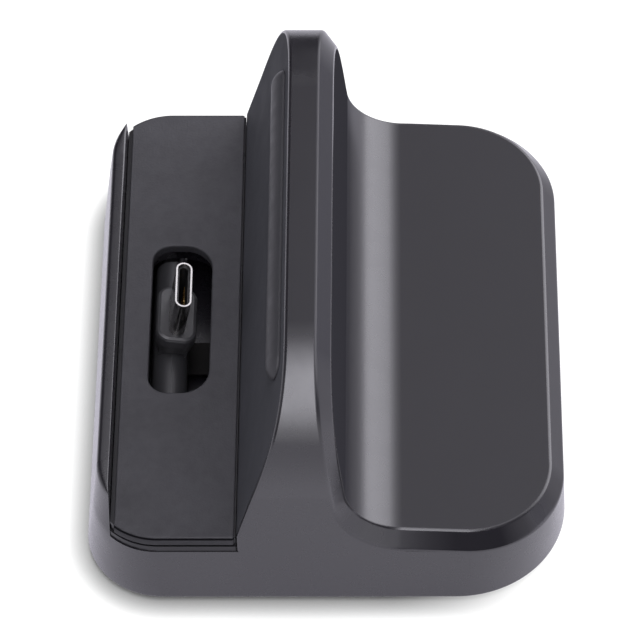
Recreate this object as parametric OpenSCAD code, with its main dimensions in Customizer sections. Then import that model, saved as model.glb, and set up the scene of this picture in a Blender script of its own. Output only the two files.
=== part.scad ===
// Charging dock for a handheld console: a leaning back rest, a padded cradle with a tilting
// plug, and a swept rear deck, with the board, weights and cover that close it from below.
// X runs from the front lip to the rear, Y along the cradle, and Z up from the table.

/* [Base] */
// Length of the housing at its foot, along the cradle
base_len = 81; // [76:1:90]
// Width of the housing at its foot, from lip to rear
base_w = 70; // [66:1:76]
// Height of the housing above the feet
housing_h = 41; // [38:0.5:46]
// Wall thickness of the housing
wall = 2; // [1.6:0.1:2.3]
// Plan radius of the two front corners at the foot
front_corner_r = 11.3; // [9:0.1:13]
// Plan radius of the two rear corners at the foot
rear_corner_r = 16.2; // [13:0.1:19]

/* [Back rest] */
// Lean of the rest face that the console touches, in degrees from upright
rest_lean = 15; // [10:0.5:18]
// Width of the flat along the top
top_flat = 4.5; // [4:0.1:6]
// Radius of the two top corners, seen from the front
top_corner_r = 12; // [8:0.5:14]
// Lean of the rear face in degrees from upright
rear_lean = 6.3; // [4:0.1:8]

/* [Rear deck] */
// Height of the deck at its rear edge, above the feet
deck_z = 12.75; // [12:0.25:15]
// Fall of the deck towards the rear in degrees
deck_fall = 3; // [1:0.5:4]
// Radius of the sweep from the deck up to the rest
sweep_r = 8.7; // [6:0.1:12]
// Width of the bevel round the deck, along the surface
bevel_w = 1.85; // [1.2:0.05:2.4]
// Depth of the bevel behind the rest
bevel_rest = 1.7; // [1.2:0.1:2]
// Depth of the bevel at the edge of the deck
bevel_deck = 2.4; // [1.5:0.1:2.8]

/* [Cradle] */
// Clear width of the cradle between the lip and the rest
cradle_w = 18.2; // [17:0.1:19]
// Height of the cradle pocket's floor above the feet
floor_z = 10.9; // [10.4:0.1:12]
// Thickness of the cradle pocket's floor
floor_t = 1.8; // [1.6:0.1:2]
// Height of the lip above the feet
lip_z = 17.7; // [16:0.1:20]
// Thickness of the lip at its top
lip_t = 1.9; // [1.5:0.1:2.2]
// Thickness of the hard tray under the pad
tray_t = 1.45; // [1.2:0.05:2]
// Thickness of the soft pad
mat_t = 1.55; // [1.2:0.05:2]
// Gap between the lip and the pad
lip_gap = 0.7; // [0.5:0.05:1]
// Gap between the rest and the pad
rest_gap = 0.35; // [0.3:0.05:0.5]

/* [Plug slot] */
// Width of the slot in the pad
slot_w = 8.9; // [8.6:0.1:9.2]
// Length of the slot in the pad
slot_len = 27.6; // [27:0.1:29]
// Radius of the slot's corners on the lip side
slot_lip_r = 2.9; // [2:0.1:3.2]
// Radius of the slot's corners on the rest side
slot_rest_r = 4.2; // [3:0.1:4.3]
// Growth of the slot in the tray and floor across the cradle
slot_relief = 0.5; // [0.4:0.1:0.8]

/* [Plug] */
// Lean of the plug at rest, in degrees from upright
plug_lean = 10; // [8:0.5:12]
// Height of the pivot above the feet
pivot_z = 7; // [6.8:0.1:7.1]
// Distance of the pivot in front of the middle of the slot
pivot_offset = 1.85; // [1.8:0.05:2]
// Distance from the pivot to the tip of the plug
plug_reach = 15.1; // [14:0.1:16]
// Width of the plug's steel shell
shell_w = 8.25; // [8.15:0.01:8.35]
// Thickness of the plug's steel shell across its flats
shell_t = 2.4; // [2.3:0.01:2.5]
// Wall of the plug's steel shell
shell_wall = 0.25; // [0.2:0.05:0.35]
// Length of shell that stands out of the overmould
shell_out = 6.95; // [6.5:0.05:7.2]
// Length of the overmoulded head along the cradle
head_len = 10.2; // [10:0.1:12]
// Thickness of the overmoulded head
head_t = 6; // [5.6:0.1:6.1]
// Height of the overmoulded head
head_h = 3.65; // [3.2:0.05:3.8]
// Radius of the rocker's barrel
barrel_r = 2.6; // [2.4:0.1:2.6]
// Length of the rocker's barrel
barrel_len = 25.8; // [24.5:0.1:26]
// Height of the upper barrel round above the pivot
barrel_rise = 1.6; // [1.2:0.1:1.7]
// Radius of the pivot pin
pin_r = 1; // [0.8:0.05:1]
// Running clearance of the rocker on its pin
pin_clear = 0.05; // [0.02:0.01:0.08]

/* [Bracket] */
// Width of the bracket's ears across the pin
ear_w = 4.4; // [4:0.1:4.6]
// Thickness of each ear along the pin
ear_t = 1.8; // [1.4:0.1:2]
// Distance between the ears
ear_gap = 29.2; // [29.2:0.1:29.6]
// Thickness of the bar between the ears
bar_t = 1; // [0.8:0.1:1.1]
// Distance of each bracket screw outside its ear
flange_reach = 2.8; // [2.6:0.1:3.2]

/* [Electronics] */
// Length of the circuit board along the cradle
board_len = 34; // [33:1:36]
// Width of the circuit board
board_w = 24; // [23:0.5:25]
// Thickness of the circuit board
board_t = 1.2; // [0.8:0.1:1.4]
// Height of the circuit board's underside above the feet
board_z = 3.8; // [3.7:0.1:4]
// Width of the power socket's shell
socket_w = 8.94; // [8.9:0.01:9]
// Height of the power socket's shell
socket_h = 3.16; // [3.1:0.01:3.2]
// Depth of the power socket's shell
socket_len = 7.3; // [7:0.1:8]
// Clearance of the power socket in the rear wall
socket_clear = 0.25; // [0.2:0.05:0.35]

/* [Underside] */
// Thickness of the bottom cover
cover_t = 2.2; // [2:0.1:2.3]
// Gap round the bottom cover
cover_gap = 0.15; // [0.1:0.05:0.3]
// Height that the feet stand below the housing
foot_h = 1; // [0.8:0.1:1.5]
// Radius of each rubber foot
foot_r = 4; // [3:0.1:4.3]
// Depth of the seat of each foot in the cover
foot_seat = 0.5; // [0.3:0.05:0.6]
// Inset of the front feet from the lip side
foot_front_in = 8; // [7.8:0.1:9]
// Inset of the rear feet from the rear side
foot_rear_in = 9.5; // [9:0.1:11]
// Inset of the front feet from each end
foot_front_end = 9; // [8.6:0.1:10]
// Inset of the rear feet from each end
foot_rear_end = 10.5; // [10:0.1:12]
// Height of each steel weight
weight_h = 6; // [4:0.5:6]
// Width of each steel weight along the cradle
weight_w = 15; // [12:0.5:15]
// Length of each steel weight
weight_len = 29; // [20:0.5:29]

/* [Hidden] */

eps = 0.01;
corner_steps = 12;
sweep_steps = 16;

// Draft of the moulded walls, in millimetres per millimetre of height
lip_draft = 0.124;
end_draft = 0.036;
rear_draft = 0.045;

// Front corners tighten up to the cradle floor and open again round the lip
corner_close = 1.9;
corner_open = 1.8;
rear_close = 1.7;
front_corner_mid = front_corner_r - corner_close;
front_corner_lip = front_corner_mid + corner_open;
rear_corner_top = rear_corner_r - rear_close;
lip_edge = 0.35;

// Lines that place the rest, the cradle and the slot
lip_outer_x = -base_w / 2 + lip_draft * lip_z;
lip_inner_x = lip_outer_x + lip_t;
rest_foot_x = lip_inner_x + cradle_w;
mat_top = floor_z + tray_t + mat_t;
rest_foot_up = 0.4;
rest_foot_z = mat_top + rest_foot_up;
pad_x0 = lip_inner_x + lip_gap;
pad_x1 = rest_foot_x - rest_gap;
slot_forward = 0.15;
slot_x = (pad_x0 + pad_x1 - slot_w) / 2 - slot_forward;
slot_mid_x = slot_x + slot_w / 2;
pivot_x = slot_mid_x - pivot_offset;

function rest_x(z, w = 0) =
    rest_foot_x + tan(rest_lean) * (z - rest_foot_z) + w / cos(rest_lean);
function end_y(z, w = 0) = base_len / 2 - end_draft * z - w;
function rear_x(z, w = 0) = base_w / 2 - rear_draft * z - w;
function lip_x(z, w = 0) = -base_w / 2 + lip_draft * z + w;

// Rear face of the rest and the deck are two lines joined by the sweep's arc
rear_top_x = rest_x(housing_h) + top_flat + bevel_rest / cos(rear_lean);
function rear_face_x(z, w = 0) =
    rear_top_x + (housing_h - z) * tan(rear_lean) - w / cos(rear_lean);
deck_edge_x = rear_x(deck_z) - bevel_w;
function deck_top_z(x, w = 0) =
    deck_z + (deck_edge_x - x) * tan(deck_fall) - w / cos(deck_fall);
sweep_k1 = sweep_r + cos(rear_lean) * rear_top_x + sin(rear_lean) * housing_h;
sweep_k2 = sweep_r + sin(deck_fall) * deck_edge_x + cos(deck_fall) * deck_z;
sweep_det = cos(rear_lean + deck_fall);
sweep_x = (sweep_k1 * cos(deck_fall) - sweep_k2 * sin(rear_lean)) / sweep_det;
sweep_z = (sweep_k2 * cos(rear_lean) - sweep_k1 * sin(deck_fall)) / sweep_det;
sweep_end_x = sweep_x - sweep_r * sin(deck_fall);

// Bevel at the top of the rest drops further than it does elsewhere
bevel_top = 2.6;
function steps(n) = [for (i = [0 : n]) i / n];

// Near edge of the deck and rest, from the top corner down and round to the rear.
// An offset of w moves it inwards, and a bevel depth of d moves it to the bevel's foot.
function edge_side(d) = d > 0 ? 0 : bevel_w;
function top_arc(w, d, top) =
    let (z0 = housing_h - top_corner_r,
         ry = top_corner_r - w - edge_side(d),
         rz = top - z0 - w - (d > 0 ? 0 : bevel_top),
         y0 = end_y(z0) - top_corner_r)
    [for (t = steps(corner_steps)) let (z = z0 + rz * cos(90 * t))
        [rear_face_x(z, w + (d > 0 ? bevel_rest : 0)), -y0 - ry * sin(90 * t), z]];
function sweep_arc(w, d) =
    [for (t = steps(sweep_steps))
        let (a = 180 + rear_lean + t * (90 - deck_fall - rear_lean),
             depth = d > 0 ? bevel_rest + t * (bevel_deck - bevel_rest) : 0,
             r = sweep_r + w + depth,
             z = sweep_z + r * sin(a))
        [sweep_x + r * cos(a), -end_y(z, w + edge_side(d)), z]];
function rear_corner(w, d) =
    let (side = w + edge_side(d),
         r = rear_corner_top - side,
         depth = w + (d > 0 ? bevel_deck : 0),
         cx = rear_x(deck_z - depth, side) - r)
    [for (t = steps(corner_steps))
        let (x = cx + r * sin(90 * t), z = deck_top_z(x, depth))
        [x, r * (1 - cos(90 * t)) - end_y(z, side), z]];
function edge_chain(w, d, top) = concat(top_arc(w, d, top), sweep_arc(w, d), rear_corner(w, d));
function flip(chain) = [for (p = chain) [p.x, -p.y, p.z]];

// Triangles between two chains of n points that start at indices a and b
function strip(a, b, n, turn) =
    [for (i = [0 : n - 2], half = [0, 1])
        let (q = half == 0 ? [a + i, a + i + 1, b + i] : [b + i, a + i + 1, b + i + 1])
        turn ? [q[2], q[1], q[0]] : q];
function turned(face) = [for (i = [len(face) - 1 : -1 : 0]) face[i]];

// Solid of the rest, its bevel and the rear deck, set in by w and cut off at height foot
module rest_and_deck(w = 0, foot = 0, top = housing_h) {
    panel = edge_chain(w, 0, top);
    bevel = edge_chain(w, 1, top);
    n = len(panel);
    m = corner_steps + sweep_steps + 2;
    front = concat([for (i = [0 : m - 1])
                       [rest_x(bevel[i].z, w), bevel[i].y, bevel[i].z]],
                   [[rest_x(foot, w), -end_y(foot, w), foot]]);
    foot_r0 = rear_corner_r - w;
    base = concat([for (i = [m - 1 : corner_steps + sweep_steps + 1])
                      [bevel[i].x, -end_y(foot, w), foot]],
                  [for (t = steps(corner_steps))
                      [rear_x(foot, w) - foot_r0 * (1 - sin(90 * t)),
                       -end_y(foot, w) + foot_r0 * (1 - cos(90 * t)), foot]]);
    nf = len(front);
    nb = len(base);
    pn = 0;
    pf = n;
    bn = 2 * n;
    bf = 3 * n;
    fn = 4 * n;
    ff = fn + nf;
    cn = ff + nf;
    cf = cn + nb;
    points = concat(panel, flip(panel), bevel, flip(bevel), front, flip(front), base, flip(base));
    faces = concat(
        strip(pn, pf, n, true),
        strip(pn, bn, n, false), strip(pf, bf, n, true),
        strip(fn, bn, m, true), strip(ff, bf, m, false),
        strip(fn, ff, nf, false),
        strip(bn + m - 1, cn, nb, false), strip(bf + m - 1, cf, nb, true),
        [[fn + m - 1, bn + m - 1, cn, fn + nf - 1]],
        [turned([ff + m - 1, bf + m - 1, cf, ff + nf - 1])],
        [[fn, ff, bf, bn], [bn, bf, pf, pn]],
        [[pn + n - 1, pf + n - 1, bf + n - 1, bn + n - 1]],
        [[bn + n - 1, bf + n - 1, cf + nb - 1, cn + nb - 1]],
        [concat([for (i = [0 : nb - 1]) cn + i], [for (i = [nb - 1 : -1 : 0]) cf + i],
                [ff + nf - 1, fn + nf - 1])]);
    polyhedron(points, faces, convexity = 6);
}

// Plan outline of the front part at one height, with its back end tucked inside the rest
tuck = 0.04;
function front_ring(z, r, w, back_x) = concat(
    [[back_x, -end_y(z, w + tuck), z]],
    [for (t = steps(corner_steps))
        [lip_x(z, w) + r * (1 - sin(90 * t)), -end_y(z, w) + r * (1 - cos(90 * t)), z]],
    [for (t = steps(corner_steps))
        [lip_x(z, w) + r * (1 - cos(90 * t)), end_y(z, w) - r * (1 - sin(90 * t)), z]],
    [[back_x, end_y(z, w + tuck), z]]);

// Solid lofted through a list of such rings, lowest first
module loft(rings) {
    n = len(rings[0]);
    last = len(rings) - 1;
    faces = concat(
        [[for (i = [n - 1 : -1 : 0]) i]],
        [[for (i = [0 : n - 1]) last * n + i]],
        [for (k = [0 : last - 1], i = [0 : n - 1], half = [0, 1])
            let (a = k * n + i, b = k * n + (i + 1) % n)
            half == 0 ? [a, b, a + n] : [b, b + n, a + n]]);
    polyhedron([for (ring = rings) each ring], faces, convexity = 6);
}

module front_block(back_x) {
    loft([front_ring(0, front_corner_r, 0, back_x),
          front_ring(floor_z, front_corner_mid, 0, back_x),
          front_ring(lip_z - lip_edge, front_corner_lip, 0, back_x),
          front_ring(lip_z, front_corner_lip, lip_edge, back_x)]);
}

// Plan outline of the whole foot of the housing, set in by w
function foot_outline(w) =
    let (rf = front_corner_r - w, rr = rear_corner_r - w, x0 = lip_x(0, w), x1 = rear_x(0, w),
         y = end_y(0, w))
    concat([for (t = steps(corner_steps)) [x1 - rr * (1 - sin(90 * t)), -y + rr * (1 - cos(90 * t))]],
           [for (t = steps(corner_steps)) [x1 - rr * (1 - cos(90 * t)), y - rr * (1 - sin(90 * t))]],
           [for (t = steps(corner_steps)) [x0 + rf * (1 - sin(90 * t)), y - rf * (1 - cos(90 * t))]],
           [for (t = steps(corner_steps)) [x0 + rf * (1 - cos(90 * t)), -y + rf * (1 - sin(90 * t))]]);

// Everything above is measured from the housing's foot, which stands on the feet
module raised() {
    translate([0, 0, foot_h]) children();
}

// Runs a profile drawn in X and Z along Y, centred, in the pivot's frame at the given lean
module along_y(length) {
    rotate([90, 0, 0]) linear_extrude(length, center = true) children();
}
module at_pivot(lean = 0) {
    raised() translate([pivot_x, 0, pivot_z]) rotate([0, lean, 0]) children();
}
module stadium(w, t) {
    square([w - t, t], center = true);
    for (s = [-1, 1]) translate([s * (w - t) / 2, 0]) circle(d = t, $fn = 40);
}
module rounded_rect(x0, x1, y_half, r0, r1) {
    polygon(concat(
        [for (t = steps(8)) [x1 - r1 * (1 - cos(90 * t)), y_half - r1 * (1 - sin(90 * t))]],
        [for (t = steps(8)) [x0 + r0 * (1 - sin(90 * t)), y_half - r0 * (1 - cos(90 * t))]],
        [for (t = steps(8)) [x0 + r0 * (1 - cos(90 * t)), -y_half + r0 * (1 - sin(90 * t))]],
        [for (t = steps(8)) [x1 - r1 * (1 - sin(90 * t)), -y_half + r1 * (1 - cos(90 * t))]]));
}

// Places of the feet and of the cover screws above them
foot_places = [[-base_w / 2 + foot_front_in, -base_len / 2 + foot_front_end],
               [-base_w / 2 + foot_front_in, base_len / 2 - foot_front_end],
               [base_w / 2 - foot_rear_in, -base_len / 2 + foot_rear_end],
               [base_w / 2 - foot_rear_in, base_len / 2 - foot_rear_end]];
screw_r = 0.78;
screw_clear = 0.25;
screw_spare = 0.7;
boss_hole_r = 0.8;
boss_r = 2.3;
boss_top = 1;
screw_head_r = 1.9;
small_head_r = 1.6;
screw_head_h = 0.9;
head_clear = 0.2;
head_room = 0.1;
driver_w = 0.32;
cover_hole_len = 6;
cover_inset = wall - 0.9;
cover_screw_z = foot_seat + head_room + screw_head_h;

// Power socket and board, tied to the rear wall and the board's height
board_top = board_z + board_t;
socket_mid_z = board_top + socket_h / 2;
socket_inset = 0.5;
socket_wall = 0.3;
socket_mouth_x = rear_x(socket_mid_z) - socket_inset;
socket_back_x = socket_mouth_x - socket_len;
board_gap = 0.5;
board_x1 = rear_x(board_z, wall) - board_gap;
board_x0 = board_x1 - board_w;
board_screw_in = 3.2;
board_places = [for (x = [board_x0 + board_screw_in, board_x1 - board_screw_in],
                     y = [-1, 1]) [x, y * (board_len / 2 - board_screw_in)]];
board_screw_len = 5;
board_boss_r = 2;

// Bracket under the floor that carries the pin
floor_bottom = floor_z - floor_t;
bar_clear = 0.8;
bar_z = pivot_z - barrel_r - bar_clear - bar_t;
ear_clear = 0.2;
flange_t = 1.4;
flange_drop = 2.7;
flange_z = floor_bottom - flange_drop - flange_t;
bracket_screw_y = ear_gap / 2 + ear_t + flange_reach;
flange_end = 2.4;
bracket_screw_len = 4.6;

// Ribs across the hollow rest, and the solid crown left above them
rib_t = 1.2;
rib_step = 16;
rib_places = [for (i = [-1.5 : 1.5]) i * rib_step];
rib_up = 6;
rib_z = floor_z + rib_up;
rest_crown = 5.5;

front_lap = 2;
slot_end_relief = 1.2;

// Height of the middle of the roof's wall over a point behind the rest, where bosses end
function roof_z(x) =
    x < sweep_end_x ? sweep_z - sqrt(pow(sweep_r + wall / 2, 2) - pow(sweep_x - x, 2))
                    : deck_top_z(x, wall / 2);

module slot_hole(relief_x, relief_y, z0, z1) {
    translate([0, 0, z0]) linear_extrude(z1 - z0)
        rounded_rect(slot_x - relief_x, slot_x + slot_w + relief_x, slot_len / 2 + relief_y,
                     slot_lip_r, slot_rest_r);
}

// Strip of soft rubber near the top of the rest, with a key that sits in a groove
strip_len = 56.4;
strip_h = 4.6;
strip_proud = 1.5;
strip_key = 0.7;
strip_drop = 4.5;
strip_mid_z = housing_h - strip_drop;
strip_key_h = 2.6;
strip_seat = 0.05;
strip_crown_r = 0.62 * strip_h;
module on_rest_face() {
    raised() translate([rest_x(strip_mid_z), 0, strip_mid_z]) rotate([0, rest_lean, 0]) children();
}
module strip_groove() {
    on_rest_face() translate([strip_key / 2, 0, 0])
        cube([strip_key + 2 * strip_seat, strip_len - strip_h, strip_key_h + 2 * strip_seat],
             center = true);
}

module housing_cavity() {
    difference() {
        rest_and_deck(wall, -1, housing_h - rest_crown);
        for (y = rib_places)
            translate([-base_w / 2, y - rib_t / 2, rib_z]) cube([base_w, rib_t, housing_h]);
    }
    loft([front_ring(-1, front_corner_r - wall, wall, rest_foot_x),
          front_ring(floor_bottom, front_corner_mid - wall, wall, rest_foot_x)]);
}

module main_housing() {
    color([0.27, 0.27, 0.29]) raised() difference() {
        union() {
            difference() {
                union() {
                    difference() {
                        front_block(rest_foot_x + front_lap);
                        translate([lip_inner_x, -base_len, floor_z])
                            cube([base_w, 2 * base_len, housing_h]);
                    }
                    rest_and_deck();
                }
                // pocket of the cradle, between the lip and the rest, open at both ends
                translate([lip_inner_x, -base_len, floor_z]) cube([cradle_w, 2 * base_len, housing_h]);
                housing_cavity();
                // seat of the bottom cover
                translate([0, 0, -1]) linear_extrude(1 + cover_t)
                    polygon(foot_outline(cover_inset));
            }
            for (p = foot_places)
                translate([p.x, p.y, cover_t])
                    cylinder(r = boss_r, h = (p.x < 0 ? floor_z - boss_top : roof_z(p.x)) - cover_t,
                             $fn = 32);
            for (p = board_places)
                translate([p.x, p.y, board_top])
                    cylinder(r = board_boss_r, h = roof_z(p.x) - board_top, $fn = 32);
            for (s = [-1, 1])
                translate([pivot_x, s * bracket_screw_y, flange_z + flange_t])
                    cylinder(r = board_boss_r, h = floor_z - boss_top - flange_z - flange_t, $fn = 32);
        }
        for (p = foot_places)
            translate([p.x, p.y, cover_t - eps]) cylinder(r = boss_hole_r, h = cover_hole_len, $fn = 32);
        for (p = board_places)
            translate([p.x, p.y, board_top - eps])
                cylinder(r = boss_hole_r, h = board_screw_len - board_t + screw_spare, $fn = 32);
        for (s = [-1, 1])
            translate([pivot_x, s * bracket_screw_y, flange_z + flange_t - eps])
                cylinder(r = boss_hole_r, h = bracket_screw_len - flange_t + screw_spare, $fn = 32);
        slot_hole(slot_relief, slot_end_relief, floor_bottom - 1, floor_z + 1);
        translate([rear_x(0) - wall - 1, 0, socket_mid_z]) rotate([90, 0, 90])
            linear_extrude(wall + 2)
                stadium(socket_w + 2 * socket_clear, socket_h + 2 * socket_clear);
        translate([0, 0, -foot_h]) strip_groove();
    }
}

// Plan of the tray or pad from x0 to x1, with the housing's front corners, set in at its ends
cradle_corner_r = 9.6;
module cradle_plan(x0, x1, inset = 0) {
    y = end_y(mat_top) - inset;
    r = cradle_corner_r - inset;
    xc = lip_x(floor_z) + cradle_corner_r;
    intersection() {
        translate([x0, -y]) square([x1 - x0, 2 * y]);
        polygon(concat(
            [[x1, -y]],
            [for (t = steps(corner_steps)) [xc - r * sin(90 * t), -y + r * (1 - cos(90 * t))]],
            [for (t = steps(corner_steps)) [xc - r * cos(90 * t), y - r * (1 - sin(90 * t))]],
            [[x1, y]]));
    }
}

// Tray with a shadow groove under the pad at its ends and a rim along each side of the pad
tray_gap = 0.1;
rim_drop = 0.35;
groove_h = 0.3;
groove_in = 0.4;
module cradle_tray() {
    x0 = lip_inner_x + tray_gap;
    x1 = rest_foot_x - tray_gap;
    color([0.12, 0.12, 0.13]) raised() difference() {
        translate([0, 0, floor_z]) {
            linear_extrude(tray_t - groove_h) cradle_plan(x0, x1);
            linear_extrude(tray_t) cradle_plan(x0, x1, groove_in);
            linear_extrude(tray_t + mat_t - rim_drop) difference() {
                cradle_plan(x0, x1, groove_in);
                translate([pad_x0, -base_len]) square([pad_x1 - pad_x0, 2 * base_len]);
            }
        }
        slot_hole(slot_relief, slot_end_relief, floor_z - 1, mat_top + 1);
    }
}

// Pad with a low step along each end of its top
pad_step_h = 0.3;
pad_step_in = 0.3;
module cradle_mat() {
    color([0.2, 0.2, 0.21]) raised() difference() {
        translate([0, 0, floor_z + tray_t]) {
            linear_extrude(mat_t - pad_step_h) cradle_plan(pad_x0, pad_x1);
            linear_extrude(mat_t) cradle_plan(pad_x0, pad_x1, pad_step_in);
        }
        slot_hole(0, 0, floor_z, mat_top + 1);
    }
}

module backrest_strip() {
    color([0.1, 0.1, 0.11]) {
        on_rest_face() {
            // D shaped bar with round ends, flat against the rest
            intersection() {
                translate([-strip_proud, 0, 0]) rotate([0, 90, 0])
                    linear_extrude(strip_proud) stadium_y(strip_h, strip_len);
                rotate([90, 0, 0]) linear_extrude(strip_len, center = true)
                    strip_profile();
            }
            translate([strip_key / 2 - eps / 2, 0, 0])
                cube([strip_key + eps, strip_len - strip_h - 2 * strip_seat, strip_key_h], center = true);
        }
    }
}
module stadium_y(w, length) {
    square([w, length - w], center = true);
    for (s = [-1, 1]) translate([0, s * (length - w) / 2]) circle(d = w, $fn = 40);
}
// Section of the strip: flat back on X = 0, crown towards the console
module strip_profile() {
    intersection() {
        translate([-strip_proud, -strip_h / 2]) square([strip_proud, strip_h]);
        translate([strip_crown_r - strip_proud, 0]) circle(r = strip_crown_r, $fn = 64);
    }
}

// Overmoulded rocker: a barrel on the pin, a neck and the head that grips the plug
head_z0 = plug_reach - shell_out - head_h;
neck_t = 4.2;
neck_len = 8.8;
head_r = 2;
head_edge = 0.55;
shell_seat = 4;
ribbon_w = 6;
parting_h = 0.12;
parting_w = 0.25;
peg_r = 0.4;
peg_len = 1.55;
peg_at = [barrel_r - 1.6, barrel_rise + 1.4];
notch_mouth = 2.6;
notch_top = 0.7;
notch_z = 1.55;
module head_section(grow, z, h) {
    translate([0, 0, z]) linear_extrude(h)
        rounded_rect(-head_t / 2 - grow, head_t / 2 + grow, head_len / 2 + grow,
                     head_r + grow, head_r + grow);
}
module plug_rocker() {
    color([0.08, 0.08, 0.085]) at_pivot(plug_lean) difference() {
        union() {
            along_y(barrel_len) {
                circle(r = barrel_r, $fn = 64);
                translate([0, barrel_rise]) circle(r = barrel_r, $fn = 64);
                translate([-barrel_r, 0]) square([2 * barrel_r, barrel_rise]);
            }
            translate([-parting_w / 2, -barrel_len / 2, barrel_rise])
                cube([parting_w, barrel_len, barrel_r + parting_h]);
            translate([-neck_t / 2, -neck_len / 2, barrel_rise])
                cube([neck_t, neck_len, head_z0 + 1 - barrel_rise]);
            hull() {
                head_section(-0.35, head_z0, 0.2);
                head_section(0, head_z0 + head_h / 2, head_h / 2 - head_edge);
                head_section(-0.3 * head_edge, head_z0 + head_h / 2, head_h / 2 - 0.3 * head_edge);
                head_section(-head_edge, head_z0 + head_h / 2, head_h / 2);
            }
            // peg at the barrel's far end for the spring's leg
            translate([peg_at.x, barrel_len / 2 + peg_len, peg_at.y]) rotate([90, 0, 0])
                cylinder(r = peg_r, h = peg_len + 0.5, $fn = 24);
        }
        rotate([90, 0, 0]) cylinder(r = pin_r + pin_clear, h = barrel_len + 2, center = true, $fn = 48);
        translate([0, 0, plug_reach - shell_out - shell_seat]) linear_extrude(shell_seat + 1)
            rotate(90) stadium(shell_w, shell_t);
        // flared notch where the ribbon enters, wide enough for the whole tilt
        rotate([90, 0, 0]) linear_extrude(ribbon_w + 1, center = true)
            polygon([[-notch_mouth, -barrel_r - bar_clear], [notch_mouth, -barrel_r - bar_clear],
                     [notch_top, -notch_z], [-notch_top, -notch_z]]);
    }
}

module plug_shell() {
    color([0.8, 0.8, 0.82]) at_pivot(plug_lean)
        translate([0, 0, plug_reach - shell_out - shell_seat]) difference() {
            linear_extrude(shell_out + shell_seat) rotate(90) stadium(shell_w, shell_t);
            translate([0, 0, shell_wall]) linear_extrude(shell_out + shell_seat)
                rotate(90) stadium(shell_w - 2 * shell_wall, shell_t - 2 * shell_wall);
        }
}

liner_in = 0.6;
liner_wall = 0.3;
liner_floor = 2.5;
contact_count = 12;
contact_pitch = 0.5;
contact_w = 0.25;
contact_t = 0.12;
contact_len = 4;
module plug_liner() {
    w = shell_w - 2 * shell_wall;
    t = shell_t - 2 * shell_wall;
    color([0.05, 0.05, 0.05]) at_pivot(plug_lean)
        translate([0, 0, plug_reach - shell_out - shell_seat + shell_wall]) difference() {
            linear_extrude(shell_out + shell_seat - shell_wall - liner_in) rotate(90) stadium(w, t);
            translate([0, 0, liner_floor]) linear_extrude(shell_out + shell_seat)
                rotate(90) stadium(w - 2 * liner_wall, t - 2 * liner_wall);
        }
}

module plug_contacts() {
    half_t = shell_t / 2 - shell_wall - liner_wall;
    z0 = plug_reach - shell_out - shell_seat + shell_wall + liner_floor;
    color([0.83, 0.66, 0.3]) at_pivot(plug_lean)
        for (s = [-1, 1], i = [0 : contact_count - 1])
            translate([s * (half_t - contact_t / 2),
                       (i - (contact_count - 1) / 2) * contact_pitch, z0 + contact_len / 2])
                cube([contact_t, contact_w, contact_len], center = true);
}

pin_end = 0.4;
module pivot_pin() {
    color([0.75, 0.75, 0.77]) at_pivot() rotate([90, 0, 0])
        cylinder(r = pin_r, h = ear_gap + 2 * (ear_t + pin_end), center = true, $fn = 48);
}

// Torsion spring between the barrel's far end and the ear, with a leg on the bar
// and a leg that leans on the rear of the rocker's peg
spring_wire = 0.36;
spring_r = 1.3;
spring_pitch = 0.5;
spring_turns = 2;
spring_sides = 8;
spring_steps = 16;
spring_gap = 0.03;
spring_y = barrel_len / 2 + 0.35;
spring_foot = barrel_r + bar_clear - spring_gap;
spring_reach = peg_r + spring_wire / 2 + spring_gap;
peg_x = peg_at.x * cos(plug_lean) + peg_at.y * sin(plug_lean);
peg_z = peg_at.y * cos(plug_lean) - peg_at.x * sin(plug_lean);
leg_len = 1.6;
function coil_point(t) =
    [spring_r * cos(360 * t), spring_y + spring_pitch * t, spring_r * sin(360 * t)];
spring_end = coil_point(spring_turns).y;
spring_path = concat(
    [[spring_r, spring_y, -spring_foot], [spring_r, spring_y, -spring_r]],
    [for (i = [0 : spring_steps * spring_turns]) coil_point(i / spring_steps)],
    [[peg_x + spring_reach, spring_end, peg_z + peg_r - leg_len],
     [peg_x + spring_reach, spring_end, peg_z + peg_r]]);
function path_turn(p, i) =
    let (d = p[min(i + 1, len(p) - 1)] - p[max(i - 1, 0)]) [d.x, 0, d.z] / norm([d.x, d.z]);
module return_spring() {
    n = len(spring_path);
    rings = [for (i = [0 : n - 1]) let (d = path_turn(spring_path, i))
                [for (k = [0 : spring_sides - 1]) let (a = 360 * k / spring_sides)
                    spring_path[i] + spring_wire / 2 * [-d.z * cos(a), sin(a), d.x * cos(a)]]];
    color([0.7, 0.7, 0.72]) at_pivot() loft(rings);
}

flange_y0 = ear_gap / 2 + ear_t / 2;
flange_y1 = bracket_screw_y + flange_end;
pin_press = 0.02;
module pivot_bracket() {
    color([0.16, 0.16, 0.17]) raised() translate([pivot_x, 0, 0]) difference() {
        union() {
            translate([-ear_w / 2, -ear_gap / 2 - ear_t, bar_z])
                cube([ear_w, ear_gap + 2 * ear_t, bar_t]);
            for (s = [-1, 1]) {
                translate([-ear_w / 2, s * (ear_gap + ear_t) / 2 - ear_t / 2, bar_z])
                    cube([ear_w, ear_t, pivot_z - bar_z]);
                translate([0, s * (ear_gap + ear_t) / 2, pivot_z]) rotate([90, 0, 0])
                    cylinder(r = min(ear_w / 2, floor_bottom - pivot_z - ear_clear), h = ear_t,
                             center = true, $fn = 40);
                translate([-ear_w / 2, s > 0 ? flange_y0 : -flange_y1, flange_z])
                    cube([ear_w, flange_y1 - flange_y0, flange_t]);
            }
        }
        translate([0, 0, pivot_z]) rotate([90, 0, 0])
            cylinder(r = pin_r + pin_press, h = ear_gap + 4 * ear_t, center = true, $fn = 48);
        for (s = [-1, 1])
            translate([0, s * bracket_screw_y, flange_z - 1])
                cylinder(r = screw_r + screw_clear, h = flange_t + 2, $fn = 32);
    }
}

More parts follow.
